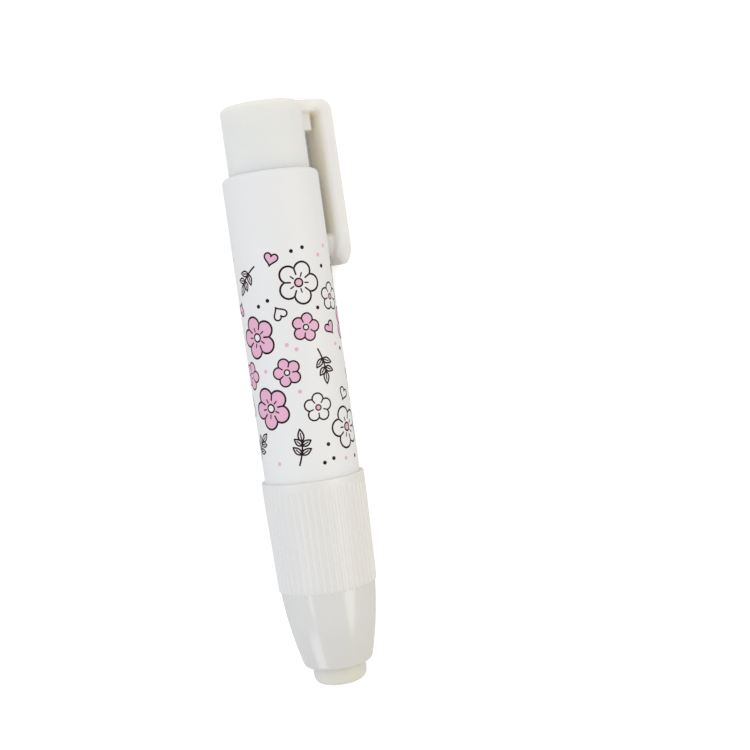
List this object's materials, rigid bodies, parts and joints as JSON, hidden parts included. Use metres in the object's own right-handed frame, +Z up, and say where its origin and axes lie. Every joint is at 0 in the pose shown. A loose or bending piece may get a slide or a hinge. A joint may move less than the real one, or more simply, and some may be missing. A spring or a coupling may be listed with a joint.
{
  "type": "push-button eraser holder",
  "caption": "Pen-shaped push-button holder for a round eraser stick, with ribbed grip, tapered nose, spring clutch and a push cap with pocket clip.",
  "frame": {"origin": "on the table under the middle of the whole holder as it lies at rest on its collar and clip", "axes": "+Y along the holder from the eraser's tip to the push cap, +Z up, +X towards the clip"},
  "size_m": [0.0254, 0.1218, 0.0216],
  "materials": {
    "barrel_white": "smooth white tube with a printed pattern",
    "grip_white": "slightly translucent warm white, glossy nose",
    "cap_white": "moulded white, satin",
    "inner_plastic": "natural moulded plastic",
    "clutch_plastic": "natural acetal, satin",
    "ring_rubber": "soft rubber",
    "spring_steel": "drawn wire",
    "eraser_vinyl": "matt, slightly translucent vinyl"
  },
  "bodies": {
    "barrel": {"barrel": "barrel_white", "grip_nose": "grip_white", "connector": "inner_plastic", "retainer_ring": "ring_rubber"},
    "push_rod": {"chuck": "clutch_plastic", "eraser_tube": "inner_plastic", "return_spring": "spring_steel"},
    "push_cap": {"push_cap": "cap_white"},
    "clutch_ring": {"clutch_ring": "clutch_plastic"},
    "eraser_stick": {"eraser_stick": "eraser_vinyl"}
  },
  "joints": [
    {"name": "press_slide", "type": "slide", "parent": "barrel", "child": "push_rod", "axis": [0, -1, 0], "range_m": [0, 0.006], "stiffness_N_per_m": 500, "springref_m": -0.004, "deforming": ["return_spring"]},
    {"name": "cap_swivel", "type": "hinge", "parent": "push_rod", "child": "push_cap", "pos_m": [-0.00193, 0.0548, 0.01078], "axis": [0, -1, 0], "continuous": true},
    {"name": "clutch_slide", "type": "slide", "parent": "barrel", "child": "clutch_ring", "axis": [0, -1, 0], "range_m": [0, 0.0015]},
    {"name": "eraser_feed", "type": "slide", "parent": "barrel", "child": "eraser_stick", "axis": [0, -1, 0], "range_m": [-0.0041, 0.06]}
  ],
  "couplings": [
    {"joint": "clutch_slide", "follows": "press_slide", "ratio": 0.25}
  ]
}
